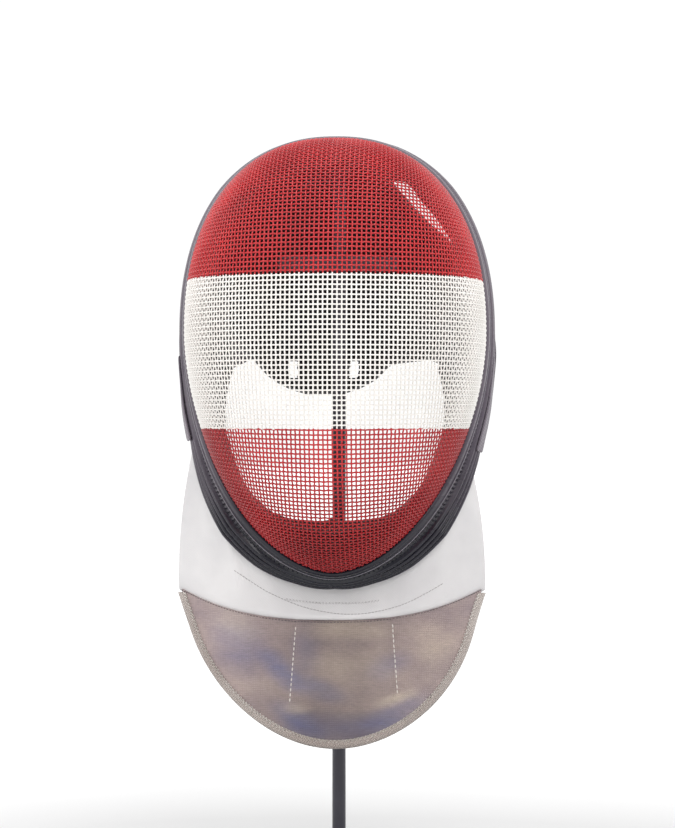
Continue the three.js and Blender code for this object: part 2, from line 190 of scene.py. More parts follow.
def stitches(name, points, normals, pitch, length, radius, material):
    """Short threads along a line, each one bowed out of the cloth."""
    step = distances(points)
    lines = []
    t = np.array([0, 0.25, 0.5, 0.75, 1.0])
    bow = np.array([-0.9, 0.25, 0.55, 0.25, -0.9]) * radius
    for s in np.arange(pitch * 0.5, step[-1] - length, pitch):
        at = s + t * length
        n = unit(sampled(at, step, normals))
        lines.append((sampled(at, step, points) + n * bow[:, None], n))
    return tubes(name, lines, radius, 5, material)


# Materials

def node_material(name, rough, metallic=0.0, sheen=0.0, coat=0.0, specular=0.5):
    material = bpy.data.materials.new(name)
    material.use_nodes = True
    tree = material.node_tree
    shader = next(n for n in tree.nodes if n.type == "BSDF_PRINCIPLED")
    shader.inputs["Roughness"].default_value = rough
    shader.inputs["Metallic"].default_value = metallic
    shader.inputs["Sheen Weight"].default_value = sheen
    shader.inputs["Coat Weight"].default_value = coat
    shader.inputs["Specular IOR Level"].default_value = specular
    return material, tree, shader


def node(tree, kind, **settings):
    made = tree.nodes.new(kind)
    for key, value in settings.items():
        setattr(made, key, value)
    return made


def place_node(tree):
    return node(tree, "ShaderNodeNewGeometry").outputs["Position"]


def ramp(tree, factor, stops):
    made = node(tree, "ShaderNodeValToRGB")
    elements = made.color_ramp.elements
    while len(elements) < len(stops):
        elements.new(0.5)
    for element, (at, colour) in zip(elements, stops):
        element.position = at
        element.color = (*colour, 1)
    tree.links.new(factor, made.inputs[0])
    return made.outputs[0]


def noise(tree, scale, detail=3.0, rough=0.5, place=None):
    made = node(tree, "ShaderNodeTexNoise")
    made.inputs["Scale"].default_value = scale
    made.inputs["Detail"].default_value = detail
    made.inputs["Roughness"].default_value = rough
    tree.links.new(place or place_node(tree), made.inputs["Vector"])
    return made.outputs[0]


def bump(tree, shader, height, strength, distance):
    made = node(tree, "ShaderNodeBump")
    made.inputs["Strength"].default_value = strength
    made.inputs["Distance"].default_value = distance
    tree.links.new(height, made.inputs["Height"])
    tree.links.new(made.outputs[0], shader.inputs["Normal"])


def srgb(r, g, b):
    c = np.array([r, g, b]) / 255
    return tuple(np.where(c < 0.04045, c / 12.92, ((c + 0.055) / 1.055) ** 2.4))


def map_range(tree, value, low, high, to_low, to_high):
    made = node(tree, "ShaderNodeMapRange")
    for socket, number in ((1, low), (2, high), (3, to_low), (4, to_high)):
        made.inputs[socket].default_value = number
    tree.links.new(value, made.inputs[0])
    return made.outputs[0]


def math_node(tree, operation, a, b):
    made = node(tree, "ShaderNodeMath", operation=operation)
    for socket, value in ((0, a), (1, b)):
        if isinstance(value, (int, float)):
            made.inputs[socket].default_value = value
        else:
            tree.links.new(value, made.inputs[socket])
    return made.outputs[0]


def blend(tree, factor, first, second):
    made = node(tree, "ShaderNodeMix", data_type="RGBA")
    tree.links.new(factor, made.inputs["Factor"])
    for socket, colour in zip([i for i in made.inputs if i.type == "RGBA"], (first, second)):
        if isinstance(colour, tuple):
            socket.default_value = (*colour, 1)
        else:
            tree.links.new(colour, socket)
    return next(o for o in made.outputs if o.type == "RGBA")


def scaled_colour(tree, colour, by):
    made = node(tree, "ShaderNodeVectorMath", operation="SCALE")
    tree.links.new(colour, made.inputs[0])
    tree.links.new(by, made.inputs["Scale"])
    return made.outputs[0]


def place_parts(tree):
    """The place on the part, split into x, y and z in metres."""
    split = node(tree, "ShaderNodeSeparateXYZ")
    tree.links.new(place_node(tree), split.inputs[0])
    return split.outputs


def cloth(name, dark, light, weave, rough, sheen=0.2, deep=0.0002, blotch=14.0, strength=0.5):
    """Woven cloth: a fine cross weave in the bump, soft blotches in the colour."""
    material, tree, shader = node_material(name, rough, sheen=sheen)
    colour = ramp(tree, noise(tree, blotch), [(0.35, dark), (0.65, light)])
    tree.links.new(colour, shader.inputs["Base Color"])
    place = place_parts(tree)
    turns = [math_node(tree, "MULTIPLY", place[axis], 2 * math.pi / weave) for axis in (0, 2)]
    waves = [math_node(tree, "SINE", turn, 0.0) for turn in turns]
    bump(tree, shader, math_node(tree, "MULTIPLY", *waves), strength, deep)
    return material


# Heights of the painted edges of the white band, and how far they wander, in metres
BAND_TOP, BAND_LOW, BAND_WANDER = 0.4071, 0.3087, 0.0022


def paint_material():
    """Red paint above and below a white band, with a slightly uneven edge, and painted shade on the
    lower red.
    """
    material, tree, shader = node_material("wire_paint", 0.38, specular=0.5, coat=0.15)
    place = place_parts(tree)
    wander = math_node(tree, "MULTIPLY", noise(tree, 260.0, 1.0), BAND_WANDER)
    height = math_node(tree, "ADD", wander, place[2])
    band = math_node(tree, "MULTIPLY", math_node(tree, "LESS_THAN", height, BAND_TOP),
                     math_node(tree, "GREATER_THAN", height, BAND_LOW))
    red = ramp(tree, noise(tree, 30.0), [(0.3, srgb(176, 24, 33)), (0.7, srgb(202, 40, 45))])
    # Painted shade: the lower red is darkened toward the chin and toward the sides, where less
    # light falls
    out = math_node(tree, "ABSOLUTE", place[0], 0.0)
    side = map_range(tree, out, 0.05, 0.1, 0.0, 0.12)
    inward = math_node(tree, "SUBTRACT", place[2], side)
    red = scaled_colour(tree, red, map_range(tree, inward, 0.19, 0.29, 0.56, 1.0))
    white = ramp(tree, noise(tree, 30.0), [(0.3, srgb(241, 237, 232)), (0.7, srgb(248, 245, 241))])
    tree.links.new(blend(tree, band, red, white), shader.inputs["Base Color"])
    bump(tree, shader, noise(tree, 900.0, 2.0), 0.25, 0.0002)
    return material


def rubber_material():
    """Glossy rubber, with painted shade making it near black under the chin and a painted
    reflection of the side light making it paler further up.
    """
    material, tree, shader = node_material("black_rubber", 0.26, specular=0.28, coat=0.3,
                                           sheen=0.12)
    shader.inputs["Coat Roughness"].default_value = 0.07
    shader.inputs["Sheen Roughness"].default_value = 0.35
    # Painted light and shade by height, with a little noise: dark low down, paler higher up
    painted_light_by_height = map_range(tree, place_parts(tree)[2], 0.2, 0.5, 0.0, 1.0)
    uneven = math_node(tree, "ADD", math_node(tree, "MULTIPLY", noise(tree, 40.0), 0.12), painted_light_by_height)
    colour = ramp(tree, uneven, [(0.08, srgb(12, 14, 28)), (0.2, srgb(34, 31, 42)),
                                 (0.4, srgb(88, 80, 91)), (0.75, srgb(112, 104, 113))])
    tree.links.new(colour, shader.inputs["Base Color"])
    rough = ramp(tree, noise(tree, 120.0), [(0.3, (0.2,) * 3), (0.7, (0.36,) * 3)])
    tree.links.new(rough, shader.inputs["Roughness"])
    bump(tree, shader, noise(tree, 500.0, 3.0), 0.25, 0.0002)
    return material


def stretched_noise(tree, scale, turn, detail, rough=0.5):
    """Noise that is drawn out along one way on the front of the bib."""
    mapping = node(tree, "ShaderNodeMapping")
    mapping.inputs["Scale"].default_value = scale
    mapping.inputs["Rotation"].default_value = (0, turn, 0)
    tree.links.new(place_node(tree), mapping.inputs["Vector"])
    return noise(tree, 1.0, detail, rough, mapping.outputs[0])


# Patches of painted light on the soft creases of the metallic cloth, cool painted reflections or
# pale painted highlights: middle, half size along and across, turn, strength
FOLD = np.dtype([(name, float) for name in ("x", "z", "along", "across", "turn", "strong")])
COOL_FOLD_REFLECTIONS = np.array([
    (-38, 148, 17, 8, 45, 0.7), (-14, 136, 20, 7, 15, 0.55), (-26, 116, 18, 8, 28, 0.75),
    (34, 151, 14, 8, -20, 0.45), (40, 121, 22, 9, -22, 0.6), (-66, 166, 22, 16, 55, 0.4),
    (8, 110, 50, 9, 0, 0.4), (-21, 158, 10, 18, 0, 0.3)], FOLD)
PALE_FOLD_HIGHLIGHTS = np.array([
    (8, 174, 28, 7, 0, 0.5), (-27, 123, 10, 3.5, 0, 0.6), (38, 129, 14, 4, -18, 0.6),
    (-69, 178, 18, 10, 30, 0.3), (5, 150, 22, 14, 0, 0.2), (66, 160, 14, 12, -40, 0.3)], FOLD)


def fold_light(tree, table, breakup):
    """How strongly each place lies in one of the patches of painted light, broken up a little by
    noise.
    """
    total = 0.0
    for fold in table:
        mapping = node(tree, "ShaderNodeMapping", vector_type="TEXTURE")
        mapping.inputs["Location"].default_value = (fold["x"] / 1000, 0, fold["z"] / 1000)
        mapping.inputs["Rotation"].default_value = (0, math.radians(fold["turn"]), 0)
        mapping.inputs["Scale"].default_value = (fold["along"] / 1000, 10, fold["across"] / 1000)
        tree.links.new(place_node(tree), mapping.inputs["Vector"])
        away = node(tree, "ShaderNodeVectorMath", operation="LENGTH")
        tree.links.new(mapping.outputs[0], away.inputs[0])
        part = node(tree, "ShaderNodeMapRange", interpolation_type="SMOOTHSTEP")
        for socket, number in ((1, 1.5), (2, 0.0), (3, 0.0), (4, fold["strong"])):
            part.inputs[socket].default_value = number
        tree.links.new(away.outputs["Value"], part.inputs[0])
        total = math_node(tree, "ADD", part.outputs[0], total)
    return math_node(tree, "MULTIPLY", total, map_range(tree, breakup, 0.3, 0.7, 0.6, 1.15))


def lame_material():
    """Cloth woven with metal thread: warm grey, with cool painted reflections and pale painted
    highlights where it creases, and painted light and shade across it.
    """
    material, tree, shader = node_material("conductive_cloth", 0.42, metallic=0.5, sheen=0.3)
    place = place_parts(tree)
    out = math_node(tree, "ABSOLUTE", place[0], 0.0)
    warm = ramp(tree, stretched_noise(tree, (17.0, 17.0, 30.0), 0.2, 3.0),
                [(0.3, srgb(188, 170, 160)), (0.5, srgb(165, 148, 145)),
                 (0.7, srgb(142, 127, 131))])
    cool = fold_light(tree, COOL_FOLD_REFLECTIONS, stretched_noise(tree, (30.0, 30.0, 90.0), 0.5, 3.0))
    pale = fold_light(tree, PALE_FOLD_HIGHLIGHTS, stretched_noise(tree, (40.0, 40.0, 120.0), 0.1, 3.0))
    colour = blend(tree, cool, warm, srgb(112, 118, 160))
    colour = blend(tree, pale, colour, srgb(226, 208, 184))
    # Painted light: lighter toward the sides, where the sheen catches; painted shade: darker at the
    # lower edge
    side = map_range(tree, out, 0.015, 0.085, 0.66, 1.16)
    edge = map_range(tree, place[2], 0.105, 0.14, 0.78, 1.0)
    threads = []
    for way in ("Z", "X"):
        wave = node(tree, "ShaderNodeTexWave", wave_type="BANDS", bands_direction=way)
        wave.inputs["Scale"].default_value = 260.0
        wave.inputs["Distortion"].default_value = 3.0
        wave.inputs["Detail"].default_value = 2.0
        tree.links.new(place_node(tree), wave.inputs["Vector"])
        threads.append(wave.outputs["Fac"])
    weave = math_node(tree, "MULTIPLY", *threads)
    fine = stretched_noise(tree, (260.0, 260.0, 1500.0), 0.0, 2.0, 0.7)
    shade = math_node(tree, "MULTIPLY", map_range(tree, weave, 0.0, 1.0, 0.9, 1.16),
                      map_range(tree, fine, 0.25, 0.75, 0.84, 1.16))
    light = math_node(tree, "MULTIPLY", math_node(tree, "MULTIPLY", side, edge), shade)
    tree.links.new(scaled_colour(tree, colour, light), shader.inputs["Base Color"])
    bump(tree, shader, weave, 0.5, 0.0003)
    return material


def plain(name, rough, metallic, blotch, dark, light):
    """Paint or metal with soft blotches."""
    material, tree, shader = node_material(name, rough, metallic=metallic)
    colour = ramp(tree, noise(tree, blotch), [(0.3, dark), (0.7, light)])
    tree.links.new(colour, shader.inputs["Base Color"])
    return material


PAINT = paint_material()
RUBBER = rubber_material()
# Pale rubber for thin lines along the trim: painted highlights
EDGE_HIGHLIGHT = cloth("edge_highlight_rubber", srgb(116, 112, 122), srgb(146, 141, 150), 0.002, rough=0.4)
PADDING = cloth("dark_padding", srgb(14, 12, 16), srgb(22, 20, 25), 0.0016, rough=0.9)
ELASTIC = cloth("dark_elastic", srgb(66, 60, 70), srgb(84, 77, 89), 0.0022, rough=0.75, deep=0.0004)
# The tabs take a paler copy of the dark elastic: painted light, for the side light they catch
# beside the trim
LIT_TAB_ELASTIC = cloth("pale_elastic", srgb(96, 88, 99), srgb(118, 109, 119), 0.0022, rough=0.7,
                  deep=0.0004)
WHITE = cloth("white_cloth", srgb(216, 214, 215), srgb(231, 229, 229), 0.0011, rough=0.85,
              deep=0.00012, blotch=20.0)
LAME = lame_material()
TAPE = cloth("edge_tape", srgb(192, 178, 170), srgb(216, 204, 196), 0.0019, rough=0.45, sheen=0.3,
             deep=0.0008, strength=0.9)
THREAD = cloth("pale_thread", srgb(216, 208, 200), srgb(238, 232, 226), 0.0006, rough=0.6)
# Dark thread for the top row of the metallic cloth: real stitches, darkened as painted shade for
# the shadow line in the seam
SEAM_SHADE_THREAD = cloth("dark_thread", srgb(66, 58, 62), srgb(88, 78, 80), 0.0006, rough=0.6)
# White thread greyed: painted shade in the stitch lines of the white cloth
SHADED_WHITE_THREAD = cloth("white_thread", srgb(168, 164, 166), srgb(186, 182, 183), 0.0006, rough=0.7)
STEEL = plain("spring_steel", 0.35, 1.0, 50.0, srgb(70, 70, 74), srgb(96, 96, 100))
STAND = plain("stand_paint", 0.42, 0.0, 60.0, srgb(56, 54, 64), srgb(64, 62, 72))


# The wire face as a surface

def rim(turn):
    s, c = np.sin(turn), np.cos(turn)
    up = s > 0
    p = np.where(up, 2 / ROUND_UP, 2 / ROUND_DOWN)
    tall = np.where(up, TOP - WIDEST, WIDEST - BOTTOM)
    return HALF * power(c, p), WIDEST + tall * power(s, p)


def depth(z):
    below = np.clip((POLE - z) / (POLE - BOTTOM), 0, 1)
    above = np.clip((z - POLE) / (TOP - POLE), 0, 1)
    deep = DEEP_SIDE + (DEEP_CHIN - DEEP_SIDE) * below ** 2 + (DEEP_TOP - DEEP_SIDE) * above ** 2
    return deep, np.radians(90 - CHIN_CUT * smooth(below))


def face_point(turn, share):
    x, z = rim(turn)
    deep, end = depth(z)
    full = np.sin(end) ** (2 / BULGE)
    part = np.sin(end * share) ** (2 / BULGE)
    px, pz = x * part / full, POLE + (z - POLE) * part / full
    ridge = KEEL * np.exp(-np.hypot(px, 3) / KEEL_WIDE) * (1 - part ** 4)
    py = FRONT + deep * (1 - np.abs(np.cos(end * share)) ** (2 / BULGE)) - ridge
    return np.stack(np.broadcast_arrays(px, py, pz), -1)


# Reach, depth and rim by the angle round the pole, to tell how far out any point lies
_turn = np.linspace(0, 2 * math.pi, 2881)[:-1]
_x, _z = rim(_turn)
_deep, _end = depth(_z)
_full = np.sin(_end) ** (2 / BULGE)
_angle = np.arctan2(_z - POLE, _x)
_order = np.argsort(_angle)
_angle, _deep, _end = _angle[_order], _deep[_order], _end[_order]
_reach = (np.hypot(_x, _z - POLE) / _full)[_order]
_rim_y = FRONT + _deep * (1 - np.abs(np.cos(_end)) ** (2 / BULGE))


def around(p, table):
    return np.interp(np.arctan2(p[..., 2] - POLE, p[..., 0]), _angle, table, period=2 * math.pi)


def level(p):
    """Zero on the wire face, positive outside it."""
    part = np.hypot(p[..., 0], p[..., 2] - POLE) / around(p, _reach)
    deep = around(p, _deep)
    ridge = KEEL * np.exp(-np.hypot(p[..., 0], 3) / KEEL_WIDE) * (1 - np.minimum(part, 1) ** 4)
    rest = np.clip((FRONT + deep - p[..., 1] - ridge) / deep, 0, None)
    return part ** BULGE + rest ** BULGE - 1


def slope(p):
    out = np.empty_like(p)
    for k in range(3):
        step = np.zeros(3)
        step[k] = 0.02
        out[..., k] = (level(p + step) - level(p - step)) / 0.04
    return out


def settle(guess, near, reach, other, other_reach, plane=None):
    """Points of the face a step from one neighbour and a step from the other, or in a plane."""
    p = guess.copy()
    for _ in range(9):
        a = p - near
        rows = [2 * a]
        values = [(a ** 2).sum(-1) - reach ** 2]
        if plane is None:
            b = p - other
            rows.append(2 * b)
            values.append((b ** 2).sum(-1) - other_reach ** 2)
        else:
            axis, at = plane
            n = np.zeros_like(p)
            n[..., axis] = 1
            rows.append(n)
            values.append(p[..., axis] - at)
        rows.append(slope(p))
        values.append(level(p))
        matrix = np.stack(rows, -2)
        good = np.abs(np.linalg.det(matrix)) > 1e-9
        matrix[~good] = np.eye(3)
        step = np.linalg.solve(matrix, np.stack(values, -1)[..., None])[..., 0]
        p = p - np.clip(step, -1.5, 1.5)
        p[~good] = np.nan
    return p


# The net: wires a fixed step apart both ways, laid from the front over the whole face
STEP_X, STEP_Z, COLUMNS, UP, DOWN = 3.1, 3.2, 62, 72, 60


def lay_net():
    net = np.full((COLUMNS + 1, UP + DOWN + 1, 3), np.nan)
    net[0, DOWN] = face_point(np.array(0.0), np.array(1e-4))
    net[0, DOWN, 0] = 0
    net[0, DOWN, 2] = POLE
    for i in range(1, COLUMNS + 1):
        last = net[i - 1, DOWN]
        way = last - net[i - 2, DOWN] if i > 1 else np.array([STEP_X, 0, 0])
        net[i, DOWN] = settle((last + way)[None], last[None], STEP_X, None, None, (2, POLE))[0]
    for way, count in ((1, UP), (-1, DOWN)):
        for j in range(1, count + 1):
            last = net[0, DOWN + way * (j - 1)]
            run = last - net[0, DOWN + way * (j - 2)] if j > 1 else np.array([0, 0, way * STEP_Z])
            found = settle((last + run)[None], last[None], STEP_Z, None, None, (0, 0.0))
            net[0, DOWN + way * j] = found[0]
        for total in range(2, COLUMNS + count + 1):
            i = np.arange(max(1, total - count), min(COLUMNS, total - 1) + 1)
            j = DOWN + way * (total - i)
            side, under, corner = net[i - 1, j], net[i, j - way], net[i - 1, j - way]
            guess = side + under - corner
            found = np.full(guess.shape, np.nan)
            ok = np.isfinite(guess).all(-1)
            if ok.any():
                p = settle(guess[ok], side[ok], STEP_X, under[ok], STEP_Z)
                bad = (np.abs(level(p)) > 1e-3) | (np.linalg.norm(p - guess[ok], axis=-1) > 2.5)
                p[bad] = np.nan
                found[ok] = p
            net[i, j] = found
    mirrored = net[1:][::-1] * np.array([-1, 1, 1])
    return np.concatenate([mirrored, net], 0)


NET = lay_net()
NET_OUT = np.full(NET.shape, np.nan)
_fine = np.isfinite(NET).all(-1)
NET_OUT[_fine] = unit(slope(NET[_fine]))
NET_IN = np.full(NET.shape[:2], -99.0)
NET_IN[_fine] = around(NET[_fine], _rim_y) - NET[_fine][:, 1]


# Radius of a wire, how far it weaves, how deep it lies and how far it runs on under the trim
WIRE, WEAVE, SUNK, UNDER_TRIM = 0.55, 0.44, 0.9, 2.6


def wire(index, across):
    """One wire of the net, over and under the ones it crosses, cut off under the trim."""
    place = (slice(None), index) if across else index
    points, out = NET[place], NET_OUT[place]
    keep = NET_IN[place] > -UNDER_TRIM
    number = np.arange(len(points))
    sign = np.where((number + index) % 2 == 0, 1.0, -1.0) * (1 if across else -1)
    cuts = np.flatnonzero(np.diff(np.concatenate([[0], keep.astype(int), [0]])))
    lines = []
    for a, b in cuts.reshape(-1, 2):
        if b - a < 2:
            continue
        p, n, s = points[a:b], out[a:b], sign[a:b]
        count = 2 * (b - a) - 1
        at = np.arange(count) / 2
        spread = sampled(at, np.arange(b - a), p)
        normal = unit(sampled(at, np.arange(b - a), n))
        weave = np.zeros(count)
        weave[::2] = s
        lines.append((spread + normal * (weave * WEAVE - SUNK)[:, None], normal))
    return lines


upright = [wire(i, False) for i in range(2 * COLUMNS + 1)]
level_wires = [wire(j, True) for j in range(UP + DOWN + 1)]
nets = [
    tubes("net_upright_left", sum(upright[:COLUMNS], []), WIRE, 6, PAINT),
    tubes("net_upright_right", sum(upright[COLUMNS:], []), WIRE, 6, PAINT),
    tubes("net_level_low", sum(level_wires[:DOWN + 3], []), WIRE, 6, PAINT),
    tubes("net_level_high", sum(level_wires[DOWN + 3:], []), WIRE, 6, PAINT),
]
for net_piece in nets:
    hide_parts("mesh_dome")


# The trim

def rim_frame(turn):
    """A place on the rim, the way the trim runs from it and the way the trim faces."""
    x1, z1 = rim(turn - 0.02)
    x2, z2 = rim(turn + 0.02)
    zero = np.zeros_like(x1)
    out = unit(np.stack([z2 - z1, zero, x1 - x2], -1))
    x, z = rim(turn)
    flip = (out[..., 0] * x + out[..., 2] * (z - POLE)) < 0
    out = np.where(flip[..., None], -out, out)
    tilt = np.degrees(np.arcsin(np.clip(np.sin(turn), -1, 1)))
    back = np.radians(np.interp(tilt, TURNS[:, 0], TURNS[:, 1]))
    y = np.array([0.0, 1.0, 0.0])
    run = out * np.cos(back)[..., None] + y * np.sin(back)[..., None]
    up = out * np.sin(back)[..., None] - y * np.cos(back)[..., None]
    return face_point(turn, np.ones_like(turn)), run, up


def trim_point(turn, along, tall):
    at, run, up = rim_frame(turn)
    return at + run * np.asarray(along)[..., None] + up * np.asarray(tall)[..., None]


def even_turns(count):
    """Places round the rim that are the same distance apart."""
    fine = np.linspace(-math.pi / 2, 1.5 * math.pi, 4001)
    p = trim_point(fine, np.full(fine.shape, 8.0), np.zeros(fine.shape))
    step = distances(p)
    return np.interp(np.arange(count) / count * step[-1], step, fine), step[-1]


def ring_line(turns, along, tall):
    return trim_point(turns, np.full(turns.shape, along), np.full(turns.shape, tall))


def bead(start, end, base, tall):
    middle, half = (start + end) / 2, (end - start) / 2
    return [(middle - half * math.cos(a), base + (tall - base) * math.sin(a) ** 0.7)
            for a in np.linspace(0, math.pi, 7)]


# Along and up from the rim: the lip over the net, a thin line, the groove of the ribs, four beads
profile = [(1.95, -1.2), (0.8, -1.9), (-1.1, -1.8), (-1.5, 0.2), (-1.4, 0.9), (-1.0, 1.55),
           (-0.1, 2.1), (1.0, 2.4), (2.4, 2.35), (3.4, 2.1), (3.6, 2.7), (3.95, 3.05), (4.3, 2.7),
           (4.5, 1.2), (9.4, 1.2), (9.6, 2.0)]
profile += bead(9.8, 13.0, 2.2, 5.2) + bead(13.4, 16.6, 2.6, 5.9) + bead(17.0, 20.2, 2.6, 6.1)
profile += bead(20.6, 23.9, 2.4, 5.8)
profile += [(24.0, 2.0), (24.0, -1.2)]
profile = np.array(profile)
turns, rim_length = even_turns(420)
ring = np.stack([ring_line(turns, a, b) for a, b in profile], 1)
trim = add_mesh("trim_band", ring, grid_faces(len(turns), len(profile), True, True), RUBBER)
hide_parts("rim_trim")

# Pale lines along the edges of the rubber: painted highlights, standing in for the light they catch
for name, along, tall, radius in (("trim_line", 3.95, 3.0, 0.26),
                                  ("trim_outer_edge", 22.8, 5.6, 0.2)):
    line = ring_line(turns, along, tall)
    out = unit(slope(line))
    closed = (np.concatenate([line, line[:1]]), np.concatenate([out, out[:1]]))
    tubes(name, [closed], radius, 5, EDGE_HIGHLIGHT)

# Ribs across the groove: their step, and half their width as a share of it
RIB_STEP, RIB_HALF = 3.3, 0.23
count = int(rim_length / RIB_STEP)
places, _ = even_turns(count)
half_turn = np.gradient(np.unwrap(places)) * RIB_HALF
corners = []
for side, along, tall in ((-1, 4.4, 1.0), (1, 4.4, 1.0), (1, 9.7, 1.0), (-1, 9.7, 1.0),
                          (-0.75, 4.4, 2.5), (0.75, 4.4, 2.5), (0.75, 9.7, 2.7), (-0.75, 9.7, 2.7)):
    corners.append(ring_line(places + side * half_turn, along, tall))
corners = np.stack(corners, 1)
box_faces = np.array([[0, 1, 2, 3], [4, 7, 6, 5], [0, 4, 5, 1], [1, 5, 6, 2], [2, 6, 7, 3],
                      [3, 7, 4, 0]])
rib_faces = (np.arange(count)[:, None, None] * 8 + box_faces).reshape(-1, 4)
ribs = add_mesh("trim_ribs", corners, rib_faces, RUBBER, flat=True)


# The padding inside

def offset(turn, share, by):
    p = face_point(turn, share)
    return p + unit(slope(p)) * by


# How much of the way to the rim is left open, by place in degrees from the side
REACH = np.array([
    (-90, 0.735), (-75, 0.775), (-60, 0.85), (-48, 0.875), (-30, 0.835), (-21, 0.775),
    (-12, 0.695), (0, 0.685), (12, 0.72), (20, 0.8), (28, 0.88), (44, 0.868), (51, 0.86),
    (56, 0.879), (61, 0.892), (66, 0.865), (71, 0.846), (76, 0.865), (84, 0.885), (90, 0.885)])


LINER_COLUMNS = 144


def liner_ring():
    """The padding's section round the rim: along the net, round the rim and back inward."""
    turn = np.linspace(0, 2 * math.pi, LINER_COLUMNS + 1)[:-1]
    reach = np.interp(np.degrees(np.arcsin(np.sin(turn))), REACH[:, 0], REACH[:, 1])
    edge = face_point(turn, np.ones_like(turn))
    start = mix(0.7, 0.78, smooth((reach - 0.75) / 0.1))

    def inner(share, back):
        return np.stack([edge[:, 0] * share, edge[:, 1] + back, mix(POLE, edge[:, 2], share)], -1)

    section = [offset(turn, start, -3), offset(turn, (start + 1) / 2, -2.8),
               offset(turn, 0.98, -2.4), offset(turn, 1.04, -2.2), offset(turn, 1.045, -4.5),
               inner(mix(reach, 0.985, 0.5), 3), inner(reach + 0.015, 1), inner(reach, -4),
               inner(reach, -12), inner(mix(reach, 0.95, 0.25), -21.6)]
    return np.stack(section, 1)


liner_points = liner_ring()
liner = add_mesh("liner_pad", liner_points, grid_faces(*liner_points.shape[:2], True, True),
                 PADDING)
soften(liner, 2)
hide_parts("liner")

# The tongue's place to the side, the radius it is bent to, its thickness and its slots
TONGUE_X, TONGUE_BEND, TONGUE_THICK = -11, 105, 7
SLOTS_X, SLOT_DROP, SLOT_WIDE, SLOT_TALL = (-33, 10), 153, 6.5, 11.5
# Below the crown, width to the left and to the right, behind the rim, as shares of the full sizes
TONGUE_FULL = np.array([170.5, 91, 99, 83])
TONGUE = TONGUE_FULL * np.array([
    (0.081, 0.363, 0.333, 0.398), (0.167, 0.538, 0.495, 0.602), (0.232, 0.637, 0.586, 0.723),
    (0.308, 0.747, 0.707, 0.843), (0.396, 0.901, 0.889, 0.928), (0.484, 1, 1, 0.976),
    (0.589, 0.967, 0.929, 1), (0.718, 0.769, 0.808, 1), (0.824, 0.571, 0.788, 0.988),
    (0.865, 0.522, 0.747, 0.972), (0.877, 0.509, 0.475, 0.969), (0.889, 0.495, 0.455, 0.964),
    (0.941, 0.396, 0.364, 0.952), (0.977, 0.275, 0.253, 0.94), (1, 0.121, 0.111, 0.928)])


def tongue_pad():
    crown = face_point(np.array(math.pi / 2), np.array(1.0))
    v = np.linspace(0, len(TONGUE) - 1, 61)
    drop, left, right, back = (np.interp(v, np.arange(len(TONGUE)), TONGUE[:, k]) for k in range(4))
    kernel = np.array([1, 2, 3, 2, 1]) / 9
    left, right = (np.convolve(np.pad(side, 2, mode="edge"), kernel, mode="valid")
                   for side in (left, right))
    u = np.linspace(-1, 1, 97)[None]
    x = u * np.where(u < 0, left[:, None], right[:, None])
    y = crown[1] + back[:, None] - x * x / (2 * TONGUE_BEND)
    return np.stack([TONGUE_X + x, y, crown[2] - drop[:, None] + 0 * x], -1)


def slotted(name, points, thick, material, slots):
    """A thick sheet with oblong slots left open."""
    faces = grid_faces(*points.shape[:2])
    middle_of = points.reshape(-1, 3)[faces].mean(1)
    keep = np.ones(len(faces), bool)
    for x, z, wide, tall in slots:
        keep &= ((np.abs(middle_of[:, 0] - x) >= wide / 2)
                 | (np.abs(middle_of[:, 2] - z) >= tall / 2))
    return thicken(add_mesh(name, points, faces[keep], material), thick)


tongue_slots = [(x, TOP - SLOT_DROP, SLOT_WIDE, SLOT_TALL) for x in SLOTS_X]
tongue = slotted("tongue_pad", tongue_pad(), TONGUE_THICK, PADDING, tongue_slots)
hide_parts("tongue")

for name, material, slot in (
        ("tongue_spring", STEEL, "spring_steel"), ("stand_crossbar", STAND, "stand_paint"),
        ("stand_base", STAND, "stand_paint"), ("stand_post", STAND, "stand_paint")):
    piece = NODES[name]
    piece.data.materials.clear()
    piece.data.materials.append(material)
    # The round pieces are shaded smooth between their sharp edges
    if name in ("stand_base", "stand_post"):
        piece.data.polygons.foreach_set("use_smooth", np.full(len(piece.data.polygons), True))
        edge = piece.modifiers.new("edges", "EDGE_SPLIT")
        edge.split_angle = math.radians(35)


# The strap

def turn_at(z):
    fine = np.linspace(-math.pi / 2, math.pi / 2, 2001)
    return np.interp(z, rim(fine)[1], fine)


# Where each tab begins and ends along the trim, where the strap leaves it, and their thickness
TAB_START, TAB_END, STRAP_START, TAB_THICK, STRAP_THICK = 12, 26, 27.2, 1.6, 2


def strap_tab(side, low, up):
    rows, columns = 13, 7
    turn = turn_at(np.linspace(TAB_HIGH, low, rows))
    along = np.linspace(TAB_START, TAB_END, columns)
    tall = mix(up - 0.9, up, smooth(np.linspace(0, 1, rows) * 1.4))
    whole = np.zeros((rows, columns))
    p = trim_point(turn[:, None] + whole, along[None] + whole, tall[:, None] + whole)
    p[..., 0] *= side
    return p


# The right tab is longer and lies closer in than the left
for side, name, low, up in ((-1, "strap_tab_left", TAB_LOW, TAB_UP),
                            (1, "strap_tab_right", TAB_LOW - 7, TAB_UP - 0.8)):
    tab = plate(name + "_cloth", strap_tab(side, low, up), TAB_THICK, LIT_TAB_ELASTIC)
    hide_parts(name)


def strap_band():
    v = np.linspace(0, 1, 13)
    end = ring_line(turn_at(mix(TAB_HIGH, TAB_LOW, v)), STRAP_START, TAB_UP - 1)
    u = np.radians(np.linspace(-90, 90, 97))
    back = np.cos(u)[:, None]
    x = end[None, :, 0] * np.sin(u)[:, None]
    y = mix(end[None, :, 1], STRAP_Y, np.abs(back) ** 0.9)
    z = mix(end[None, :, 2], STRAP_Z + (0.5 - v)[None] * STRAP_WIDE, np.abs(back) ** 0.7)
    return np.stack([x, y, z], -1)


